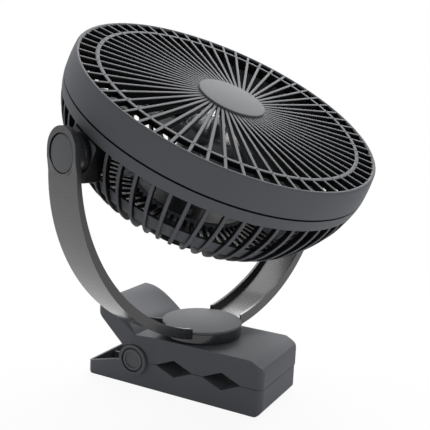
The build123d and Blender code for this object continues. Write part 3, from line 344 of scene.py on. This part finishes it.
def curve(points, steps):
    """A smooth line through a few points."""
    ends = [Vector(points[0]) * 2 - Vector(points[1]), *map(Vector, points),
            Vector(points[-1]) * 2 - Vector(points[-2])]
    line = [tuple(points[0])]
    for before, start, stop, after in zip(ends, ends[1:], ends[2:], ends[3:]):
        for step in range(1, steps + 1):
            t = step / steps
            line.append(tuple(0.5 * (2 * start + (stop - before) * t
                                     + (2 * before - 5 * start + 4 * stop - after) * t ** 2
                                     + (3 * start - before - 3 * stop + after) * t ** 3)))
    return line


def arc(centre, radius, start, stop, steps):
    """Points along an arc in the profile plane, angles in degrees from the radius direction."""
    turns = (radians(start + (stop - start) * i / steps) for i in range(steps + 1))
    return [(centre[0] + radius * cos(t), centre[1] + radius * sin(t)) for t in turns]


def inward(line, depth):
    """A line moved inward, square to itself."""
    moved = []
    for i, point in enumerate(line):
        run = Vector(line[min(i + 1, len(line) - 1)]) - Vector(line[max(i - 1, 0)])
        moved.append(tuple(Vector(point) + Vector((run.y, -run.x)).normalized() * depth))
    return moved


def revolve(bm, profile, steps, closed=True):
    """Spins a profile of (radius, station) points right round the local Z axis."""
    line = [bm.verts.new((r, 0.0, z)) for r, z in profile]
    ends = line[1:] + line[:1] if closed else line[1:]
    edges = [bm.edges.new(pair) for pair in zip(line, ends)]
    bmesh.ops.spin(bm, geom=line + edges, cent=(0, 0, 0), axis=(0, 0, 1), angle=tau,
                   steps=steps, use_merge=True)
    bmesh.ops.remove_doubles(bm, verts=bm.verts, dist=WELD)


def slab(bm, outline, low, high):
    """An outline in the local XZ plane, carried along Y from low to high."""
    face = bm.faces.new([bm.verts.new((x, low, z)) for x, z in outline])
    made = bmesh.ops.extrude_face_region(bm, geom=[face])["geom"]
    lifted = [item for item in made if isinstance(item, bmesh.types.BMVert)]
    bmesh.ops.translate(bm, verts=lifted, vec=(0, high - low, 0))


def block(bm, low, high):
    """A box between two corners; gives its edges."""
    low, high = Vector(low), Vector(high)
    verts = bmesh.ops.create_cube(bm, size=1.0)["verts"]
    bmesh.ops.scale(bm, verts=verts, vec=high - low)
    bmesh.ops.translate(bm, verts=verts, vec=(low + high) / 2)
    return list({edge for vert in verts for edge in vert.link_edges})


def post(bm, x, y, radius, low, high, steps):
    """A cylinder along the local Z axis, its sizes in millimetres."""
    x, y, radius, low, high = (size * MM for size in (x, y, radius, low, high))
    middle = Matrix.Translation((x, y, (low + high) / 2))
    bmesh.ops.create_cone(bm, cap_ends=True, segments=steps, radius1=radius, radius2=radius,
                          depth=high - low, matrix=middle)


def soften(bm, edges, width, segments=2):
    """Rounds edges."""
    bmesh.ops.bevel(bm, geom=edges, offset=width, offset_type="OFFSET", segments=segments,
                    profile=0.5, affect="EDGES", clamp_overlap=True, material=-1)


def hard(edges):
    """Those edges that turn by more than 30 degrees."""
    return [edge for edge in edges
            if edge.is_manifold and abs(edge.calc_face_angle()) > radians(30.0)]


def lengthways(edge):
    """Whether an edge runs along the local X axis."""
    return abs(edge.verts[0].co.x - edge.verts[1].co.x) > MM


def rounded_ring(profile, steps, width):
    """A ring about the local Z axis with its edges rounded."""
    ring = bmesh.new()
    revolve(ring, mm(*profile), steps)
    soften(ring, hard(ring.edges), width)
    return ring


def around(bm, count):
    """Repeats all there is at even steps round the local Z axis."""
    bmesh.ops.spin(bm, geom=bm.verts[:] + bm.edges[:] + bm.faces[:], cent=(0, 0, 0),
                   axis=(0, 0, 1), angle=tau * (count - 1) / count, steps=count - 1,
                   use_duplicate=True)


def turn(bm, degrees):
    """Turns all there is about the local Z axis."""
    bmesh.ops.rotate(bm, verts=bm.verts, cent=(0, 0, 0),
                     matrix=Matrix.Rotation(radians(degrees), 3, "Z"))


def join(bm, other):
    """Adds another bmesh to this one."""
    mesh = bpy.data.meshes.new("part")
    other.to_mesh(mesh)
    other.free()
    bm.from_mesh(mesh)
    bpy.data.meshes.remove(mesh)


def hang(made, body, slot, *nodes):
    """Puts an object in the scene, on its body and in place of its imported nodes."""
    bpy.context.scene.collection.objects.link(made)
    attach(made, body)
    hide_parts(*nodes)


def piece(name, bm, at, body, slot, node, shaded=None):
    """Ends a mesh: welds it, turns it outward, places it and hangs it on its body.

    The faces that shaded() picks, which it sees before the mesh is placed, take a darker, duller copy of the
    plastic as painted shade.
    """
    bmesh.ops.remove_doubles(bm, verts=bm.verts, dist=WELD)
    bmesh.ops.recalc_face_normals(bm, faces=bm.faces)
    # picked faces get the second material: painted shade
    if shaded:
        bm.normal_update()
        for face in bm.faces:
            face.material_index = int(shaded(face))
    bmesh.ops.transform(bm, verts=bm.verts, matrix=at)
    mesh = bpy.data.meshes.new(name)
    bm.to_mesh(mesh)
    bm.free()
    mesh.shade_smooth()
    mesh.set_sharp_from_angle(angle=radians(35.0))
    mesh.materials.append(finish(slot))
    if shaded:
        mesh.materials.append(finish("shaded_plastic"))
    hang(bpy.data.objects.new(name, mesh), body, slot, node)


def eased(name, node, body, slot, width, look):
    """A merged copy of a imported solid, its moulded edges rounded."""
    bm = bmesh.new()
    bm.from_mesh(frame["nodes"][node].data)
    bmesh.ops.remove_doubles(bm, verts=bm.verts, dist=WELD)
    bmesh.ops.dissolve_limit(bm, angle_limit=radians(0.5), verts=bm.verts, edges=bm.edges)
    mesh = bpy.data.meshes.new(name)
    bm.to_mesh(mesh)
    bm.free()
    mesh.shade_smooth()
    mesh.materials.append(finish(look))
    made = bpy.data.objects.new(name, mesh)
    edge = made.modifiers.new("rounded edges", "BEVEL")
    edge.limit_method, edge.angle_limit = "ANGLE", radians(32)
    edge.width, edge.segments, edge.profile = width, 3, 0.5
    edge.use_clamp_overlap, edge.miter_outer = True, "MITER_ARC"
    level = made.modifiers.new("even shading", "WEIGHTED_NORMAL")
    level.mode, level.keep_sharp = "FACE_AREA", False
    hang(made, body, slot, node)


# ---------------------------------------------------------------- front cover, in millimetres
COUNT = 60  # of the ribs, and of the cage's fins
RIB_LOW, RIB_TOP = 33.4, 36.9
RIB_ENDS = 20.8, 99.2  # radii
RIB_OFFSET, RIB_PHASE = 6.7, 1.4  # radius of the circle that the ribs touch, and degrees
RING = [(86.2, RIB_LOW), (88.8, RIB_LOW), (88.8, RIB_TOP), (86.2, RIB_TOP)]
HUB = [(0, RIB_LOW), (21.8, RIB_LOW), (21.8, RIB_TOP), (0, RIB_TOP)]
HUB_DISC = [(0, 36.9), (22.3, 36.9), (22.6, 37.2), *arc((21.9, 37.5), 0.7, 0, 90, 5), (0, 38.2)]
BAND = curve([(102.7, 19.7), (102.4, 26.0), (101.9, 31.0), (101.2, 35.7)], 4)
CROWN = arc((99.8, 35.6), 1.4, 0, 180, 10)
BAND_INNER = [(98.4, 32.0), (98.6, 26.0), (98.6, 15.6), (100.2, 15.6), (100.2, 19.2),
              (101.7, 19.2)]
GAPS_END = 98.5  # radius where the gaps between the ribs end, and the painted shade with them


def painted_shade_in_cover(face):
    """Whether a face of the cover looks into the gaps between its ribs, where it takes painted shade."""
    return face.normal.z < 0.6 and face.calc_center_median().xy.length < GAPS_END * MM


class CLIPFAN_OT_front_cover(bpy.types.Operator):
    """Front cover: ribs set tangent to a small circle, a ring through them, the deep band"""

    bl_idname = "clipfan.front_cover"
    bl_label = "Front Cover"

    def execute(self, context):
        sizes = context.scene.clip_fan_sizes
        bm = bmesh.new()
        offset, half = RIB_OFFSET * MM, sizes.rib_width / 2
        start, stop = (sqrt(end * end * MM * MM - offset * offset) for end in RIB_ENDS)
        edges = block(bm, (start, -offset - half, RIB_LOW * MM),
                      (stop, half - offset, RIB_TOP * MM))
        middle = (RIB_LOW + RIB_TOP) / 2 * MM
        crest = [e for e in edges if lengthways(e) and all(v.co.z > middle for v in e.verts)]
        soften(bm, crest, sizes.rib_round)
        around(bm, COUNT)
        turn(bm, RIB_PHASE)
        join(bm, rounded_ring(RING, sizes.turns, sizes.rib_round))
        revolve(bm, mm(*HUB), 96, False)
        revolve(bm, mm(*BAND, *CROWN, *BAND_INNER), sizes.turns)
        # faces that look into the gaps between the ribs take painted shade
        piece("front_cover", bm, HEAD, "head", "case_plastic", "front_grille", painted_shade_in_cover)
        return {"FINISHED"}


class CLIPFAN_OT_hub_disc(bpy.types.Operator):
    """Plain disc in the middle of the front cover"""

    bl_idname = "clipfan.hub_disc"
    bl_label = "Hub Disc"

    def execute(self, context):
        bm = bmesh.new()
        revolve(bm, mm(*HUB_DISC), 128, False)
        piece("hub_disc", bm, HEAD, "head", "cap_plastic", "hub_badge")
        return {"FINISHED"}


# ---------------------------------------------------------------- rear cage, in millimetres
FIN_DEPTH, FIN_PHASE = 3.4, 4.0  # depth inward, and degrees
FIN_OUTER = [*curve([(101.6, 13.0), (101.1, 8.0), (98.9, 0.0), (95.5, -8.0), (91.1, -16.0),
                     (85.6, -24.0), (78.5, -31.0), (73.6, -34.8)], 2),
             (70.5, -36.2), (40.0, -37.4)]
HOOP = [(89.4, -13.8), (83.3, -24.2), (81.9, -23.4), (88.0, -13.0)]
BACK_RING = [(55.3, -36.9), (57.7, -36.9), (57.7, -34.7), (55.3, -34.7)]
RIM = [(101.7, 19.0), (102.65, 18.5), (102.2, 14.0), (101.7, 11.3), (100.4, 11.3), (100.4, 19.0)]
BACK_PLATE = [(0, -33.6), (39.0, -33.6), (39.0, -37.4), (41.0, -37.4), (41.4, -37.0),
              (41.4, -31.6), (41.0, -31.2), (0, -31.2)]
POST_AT, POST_RADIUS, POST_LOW, POST_HIGH = 25, 3.0, -31.3, -26.7
TILT_BLOCK = (93.5, 103.0), (-12.0, 12.0), (-13.5, 11.0)  # its extents along X, Y and Z
TILT_BLOCK_ROUND = 2.0
BOSS_RADIUS, BOSS_INNER, BOSS_OUTER, BOSS_ROUND = 11.5, 102.0, 106.9, 0.4


def painted_shade_in_cage(face):
    """Whether a face of the cage looks sideways at the next fin, or inward, where it takes painted shade."""
    out = Vector((*face.calc_center_median().xy, 0)).normalized()
    return (abs(face.normal.dot(UP.cross(out))) > 0.8 or face.normal.dot(out) < -0.2
            or face.normal.z > 0.6)


class CLIPFAN_OT_rear_cage(bpy.types.Operator):
    """Rear cage: bowed fins, hoop and rings, the solid middle and the two tilt blocks"""

    bl_idname = "clipfan.rear_cage"
    bl_label = "Rear Cage"

    def execute(self, context):
        sizes = context.scene.clip_fan_sizes
        bm = bmesh.new()
        half = sizes.fin_width / 2
        slab(bm, mm(*FIN_OUTER, *reversed(inward(FIN_OUTER, FIN_DEPTH))), -half, half)
        crest = mm(*FIN_OUTER)
        edges = [e for e in bm.edges if e.verts[0].co.y * e.verts[1].co.y > 0
                 and all(any(abs(v.co.x - x) < CLOSE and abs(v.co.z - z) < CLOSE
                             for x, z in crest) for v in e.verts)]
        soften(bm, edges, sizes.rib_round, 1)
        around(bm, COUNT)
        turn(bm, FIN_PHASE)
        for profile in (HOOP, BACK_RING):
            join(bm, rounded_ring(profile, sizes.turns, sizes.rib_round))
        revolve(bm, mm(*RIM), sizes.turns)
        revolve(bm, mm(*BACK_PLATE), 128, False)
        for x in (-POST_AT, POST_AT):
            for y in (-POST_AT, POST_AT):
                post(bm, x, y, POST_RADIUS, POST_LOW, POST_HIGH, 24)
        for side in (-1, 1):
            near, far = sorted(x * side for x in TILT_BLOCK[0])
            edges = block(bm, *mm(*zip((near, far), *TILT_BLOCK[1:])))
            soften(bm, [e for e in edges if lengthways(e)], TILT_BLOCK_ROUND * MM, 4)
            boss = bmesh.new()
            post(boss, 0, 0, BOSS_RADIUS, BOSS_INNER, BOSS_OUTER, 64)
            bmesh.ops.rotate(boss, verts=boss.verts, cent=(0, 0, 0),
                             matrix=Matrix.Rotation(side * pi / 2, 3, "Y"))
            soften(boss, hard(boss.edges), BOSS_ROUND * MM)
            join(bm, boss)
        # fin sides and inward faces take painted shade
        piece("rear_cage_fins", bm, HEAD, "head", "case_plastic", "rear_cage", painted_shade_in_cage)
        return {"FINISHED"}


# ---------------------------------------------------------------- impeller, in millimetres
BLADES, BLADE_TURN, BLADE_STATION = 5, 48.0, 3.0
BLADE_ROOT, BLADE_TIP, SPANS = 19.6, 85.5, 9
ROOT_CHORD, CHORD_GROWTH = 26.0, 30.0
CAMBER, SWEEP = 0.09, 14.0  # share of the chord, and degrees from root to tip
SECTION = [(-0.5, 0), (-0.46, 0.8), (-0.3, 1), (0, 1), (0.3, 1), (0.46, 0.8),
           (0.5, 0), (0.46, -0.8), (0.3, -1), (0, -1), (-0.3, -1), (-0.46, -0.8)]
IMPELLER_CUP = [(20.6, -10.0), (21.0, -9.6), *arc((19.0, 12.0), 2.0, 0, 90, 6), (5.6, 14.0),
                (5.0, 13.4), (5.0, 12.0), (19.0, 12.0), (19.0, -10.0)]
IMPELLER_BORE = [(1.5, 2.0), (5.0, 2.0), (5.0, 14.0), (1.5, 14.0)]


def blade_point(share, along, up, thick):
    """A point of a blade: share from root to tip, along its chord, up its section."""
    radius = BLADE_ROOT + (BLADE_TIP - BLADE_ROOT) * share
    chord = ROOT_CHORD + CHORD_GROWTH * share
    pitch = radians(42.0 - 22.0 * share + 4.0 * share * share)
    x = along * chord
    y = CAMBER * chord * (1 - 4 * along * along) + up * thick / 2 * (1 - 0.45 * abs(along))
    angle = radians(SWEEP * share) + (x * cos(pitch) - y * sin(pitch)) / radius
    return (radius * cos(angle), radius * sin(angle),
            BLADE_STATION + x * sin(pitch) + y * cos(pitch))


class CLIPFAN_OT_impeller(bpy.types.Operator):
    """Impeller: cup hub and five twisted, cambered blades"""

    bl_idname = "clipfan.impeller"
    bl_label = "Impeller"

    def execute(self, context):
        thick = context.scene.clip_fan_sizes.blade_thickness / MM
        bm = bmesh.new()
        loops = []
        for i in range(SPANS + 1):
            points = mm(*(blade_point(i / SPANS, along, up, thick) for along, up in SECTION))
            loop = [bm.verts.new(point) for point in points]
            loops.append([bm.edges.new(pair) for pair in zip(loop, loop[1:] + loop[:1])])
            if i in (0, SPANS):
                bm.faces.new(loop)
        for low, high in zip(loops, loops[1:]):
            bmesh.ops.bridge_loops(bm, edges=low + high)
        around(bm, BLADES)
        turn(bm, BLADE_TURN)
        revolve(bm, mm(*IMPELLER_CUP), 96)
        revolve(bm, mm(*IMPELLER_BORE), 48)
        piece("impeller_blades", bm, HEAD, "impeller", "impeller_plastic", "impeller")
        return {"FINISHED"}


# ---------------------------------------------------------------- caps, in millimetres
SWIVEL_CAP = [(0, 43.6), (26.9, 43.6), (27.2, 43.9), *arc((26.5, 44.4), 0.7, 0, 90, 5), (0, 45.1)]
TILT_CAP = [(0, 112.2), (10.6, 112.2), *arc((10.0, 114.0), 0.6, 0, 90, 4), (0, 114.6)]
HINGE_CAP = [(0, 29.4), (7.5, 29.4), *arc((6.8, 30.7), 0.7, 0, 90, 5),
             *arc((6.2, 30.9), 0.5, 90, 180, 3), *arc((5.0, 30.9), 0.7, 0, -90, 4),
             (3.4, 30.35), (0, 30.5)]


def cap_pair(name, profile, body, node, places):
    """Two like caps as one piece."""
    both = bmesh.new()
    for at in places:
        cap = bmesh.new()
        revolve(cap, mm(*profile), 80, False)
        bmesh.ops.transform(cap, verts=cap.verts, matrix=at)
        join(both, cap)
    piece(name, both, Matrix(), body, "cap_plastic", node)


class CLIPFAN_OT_caps(bpy.types.Operator):
    """Swivel cap, the two tilt caps and the two hinge caps"""

    bl_idname = "clipfan.caps"
    bl_label = "Caps"

    def execute(self, context):
        bm = bmesh.new()
        revolve(bm, mm(*SWIVEL_CAP), 128, False)
        piece("swivel_cover", bm, FOOT, "yoke", "cap_plastic", "swivel_cap")
        cap_pair("tilt_caps", TILT_CAP, "yoke", "pivot_caps",
                 [place(CENTRE, FAN, ARM * side) for side in (-1, 1)])
        cap_pair("hinge_caps", HINGE_CAP, "lower_jaw", "axle_caps",
                 [place(HINGE, Vector((1, 0, 0)), Vector((0, side, 0))) for side in (-1, 1)])
        return {"FINISHED"}


# ---------------------------------------------------------------- cases and carried-over pieces
class CLIPFAN_OT_cases(bpy.types.Operator):
    """Yoke, clip jaws and rear housing with the rounded edges of their moulds"""

    bl_idname = "clipfan.cases"
    bl_label = "Yoke, Jaws and Housing"

    def execute(self, context):
        width = context.scene.clip_fan_sizes.case_round
        for name, node, body, share, look in (
                ("yoke_shell", "yoke", "yoke", 1.0, "arm_plastic"),
                ("upper_jaw_shell", "upper_jaw", "upper_jaw", 1.0, "case_plastic"),
                ("lower_jaw_shell", "lower_jaw", "lower_jaw", 1.0, "case_plastic"),
                # the housing inside the head takes the darker plastic as painted shade
                ("battery_housing", "rear_housing", "head", 0.6, "shaded_plastic")):
            eased(name, node, body, "case_plastic", width * share, look)
        return {"FINISHED"}


class CLIPFAN_OT_finishes(bpy.types.Operator):
    """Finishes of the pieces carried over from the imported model"""

    bl_idname = "clipfan.finishes"
    bl_label = "Finishes"

    def execute(self, context):
        slots = {part["node"]: part["material_slot"] for part in frame["record"]["subparts"]}
        for name, node in frame["nodes"].items():
            if not node.material_slots:
                node.data.materials.append(None)
            for holder in node.material_slots:
                holder.material = finish(slots[name])
        return {"FINISHED"}


# ---------------------------------------------------------------- stage
FLOOR_RADIUS, FLOOR_GREY = 6.0, (0.85, 0.85, 0.85, 1)
FADE_START, FADE_WIDTH, NEAR_WHITE = 0.14, 0.42, 0.92  # metres from the swivel, and share
WHITE = (1, 1, 1, 1)
MIRRORED = 0.6  # share of the white surroundings that mirror rays show
# Each lamp's position, the point it faces and its size, by its name in ClipFanStudio.
LAMPS = {"top": (CENTRE + Vector((-0.14, 0.69, 0.71)) * 1.6, CENTRE, 1.25),
         "back": (Vector((-0.2, 2.2, 0.55)), CENTRE, 1.6),
         "right": (Vector((1.5, 0.1, 0.75)), CENTRE, 1.0),
         "left": (Vector((-1.1, 0.1, 0.9)), Vector((-0.45, -0.05, 0)), 0.9),
         "front": (Vector((-0.2, -1.7, 1.0)), CENTRE, 1.2)}
CAMERA_AIM, CAMERA_DISTANCE = Vector((0.005009, 0.0026, 0.11804)), 0.47765
AZIMUTH, ELEVATION, ROLL = radians(27.666), radians(9.928), radians(2.674)
SENSOR, FOCAL_WIDTHS = 36.0, 718.14 / 430  # focal length in widths of the picture


def panel(name, at, aim, size, level):
    """Square soft lamp whose brightness is level, where 1 is white."""
    light = bpy.data.lights.new(name, "AREA")
    light.shape, light.size = "SQUARE", size
    light.energy = level * pi * size * size
    lamp = bpy.data.objects.new(name, light)
    lamp.location = at
    lamp.rotation_euler = (aim - at).to_track_quat("-Z", "Y").to_euler()
    bpy.context.scene.collection.objects.link(lamp)


def seen(nodes, direct=1.0):
    """How much of its plain white a surround shows: direct to the camera, part of it mirrored."""
    path = nodes.node("ShaderNodeLightPath", {}, {}, "Is Camera Ray")
    glossy, clear = path.beside("Is Glossy Ray"), path.beside("Is Transmission Ray")
    return nodes.math("MAXIMUM", path * direct, nodes.math("MAXIMUM", glossy * MIRRORED, clear))


def lay_floor(scene):
    """Pale paper that whitens away from the fan."""
    bm = bmesh.new()
    bmesh.ops.create_circle(bm, cap_ends=True, radius=FLOOR_RADIUS, segments=96)
    mesh = bpy.data.meshes.new("floor")
    bm.to_mesh(mesh)
    bm.free()
    floor = bpy.data.objects.new("floor", mesh)
    scene.collection.objects.link(floor)
    recipe = Recipe("floor_paper", {"Base Color": FLOOR_GREY, "Roughness": 0.9,
                                    "Specular IOR Level": 0.1})
    spot = recipe.node("ShaderNodeTexCoord", {}, {}, "Object")
    far = recipe.node("ShaderNodeVectorMath", {"operation": "LENGTH"}, {0: spot}, "Value")
    direct = far.above(FADE_START, FADE_WIDTH) * (1 - NEAR_WHITE) + NEAR_WHITE
    glow = recipe.node("ShaderNodeEmission", {}, {"Color": WHITE, "Strength": 1.0})
    lit = Value(recipe, recipe.shader.outputs[0])
    shown = recipe.node("ShaderNodeMixShader", {}, {0: seen(recipe, direct), 1: lit, 2: glow})
    recipe.feed(recipe.tree.nodes["Material Output"], {"Surface": shown})
    mesh.materials.append(recipe.material)


def light_room(scene, level):
    """White surroundings to the eye, and even light of this level to everything else."""
    world = bpy.data.worlds.new("studio")
    world.use_nodes = True
    scene.world = world
    room = Nodes(world.node_tree)
    dim = room.tree.nodes["Background"]
    room.feed(dim, {"Color": WHITE, "Strength": level})
    white = room.node("ShaderNodeBackground", {}, {"Color": WHITE, "Strength": 1.0})
    mixed = room.node("ShaderNodeMixShader", {},
                      {0: seen(room), 1: Value(room, dim.outputs[0]), 2: white})
    room.feed(room.tree.nodes["World Output"], {"Surface": mixed})


def aim_camera(scene):
    """The photo's camera."""
    back = Vector((sin(AZIMUTH) * cos(ELEVATION), -cos(AZIMUTH) * cos(ELEVATION), sin(ELEVATION)))
    right = UP.cross(back).normalized()
    roll = Matrix.Rotation(ROLL, 3, back)
    right, up = roll @ right, roll @ back.cross(right)
    lens = bpy.data.cameras.new("camera")
    lens.sensor_width, lens.lens = SENSOR, SENSOR * FOCAL_WIDTHS
    lens.clip_start, lens.clip_end = 0.01, 50.0
    camera = bpy.data.objects.new("camera", lens)
    camera.matrix_world = (Matrix.Translation(CAMERA_AIM + back * CAMERA_DISTANCE)
                           @ Matrix((right, up, back)).transposed().to_4x4())
    scene.collection.objects.link(camera)
    scene.camera = camera


class CLIPFAN_OT_stage(bpy.types.Operator):
    """Pale floor, soft lamps, white surroundings and the camera"""

    bl_idname = "clipfan.stage"
    bl_label = "Stage"

    def execute(self, context):
        scene, studio = context.scene, context.scene.clip_fan_studio
        lay_floor(scene)
        light_room(scene, studio.room)
        for name, (at, aim, size) in LAMPS.items():
            panel(f"{name} panel", at, aim, size, getattr(studio, name))
        aim_camera(scene)
        scene.view_settings.view_transform = "Standard"
        return {"FINISHED"}


# ---------------------------------------------------------------- add-on
class CLIPFAN_PT_panel(bpy.types.Panel):
    """Sizes, colours, lamps and the pieces in order"""

    bl_label = "Clip Fan"
    bl_idname = "CLIPFAN_PT_panel"
    bl_space_type = "VIEW_3D"
    bl_region_type = "UI"
    bl_category = "Clip Fan"

    def draw(self, context):
        for group in (context.scene.clip_fan_sizes, context.scene.clip_fan_colours,
                      context.scene.clip_fan_studio):
            box = self.layout.box()
            for name in group.__annotations__:
                box.prop(group, name)
        for step in STEPS:
            self.layout.operator(step.bl_idname)


STEPS = (CLIPFAN_OT_stage, CLIPFAN_OT_front_cover, CLIPFAN_OT_hub_disc, CLIPFAN_OT_rear_cage,
         CLIPFAN_OT_impeller, CLIPFAN_OT_caps, CLIPFAN_OT_cases, CLIPFAN_OT_finishes)
GROUPS = {"clip_fan_sizes": ClipFanSizes, "clip_fan_colours": ClipFanColours,
          "clip_fan_studio": ClipFanStudio}


def register():
    for kind in (*GROUPS.values(), *STEPS, CLIPFAN_PT_panel):
        bpy.utils.register_class(kind)
    for name, group in GROUPS.items():
        setattr(bpy.types.Scene, name, bpy.props.PointerProperty(type=group))


def unregister():
    for name in GROUPS:
        delattr(bpy.types.Scene, name)
    for kind in reversed((*GROUPS.values(), *STEPS, CLIPFAN_PT_panel)):
        bpy.utils.unregister_class(kind)


def main():
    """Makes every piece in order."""
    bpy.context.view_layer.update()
    register()
    for step in STEPS:
        group, name = step.bl_idname.split(".")
        getattr(getattr(bpy.ops, group), name)()


if __name__ == "__main__":
    main()
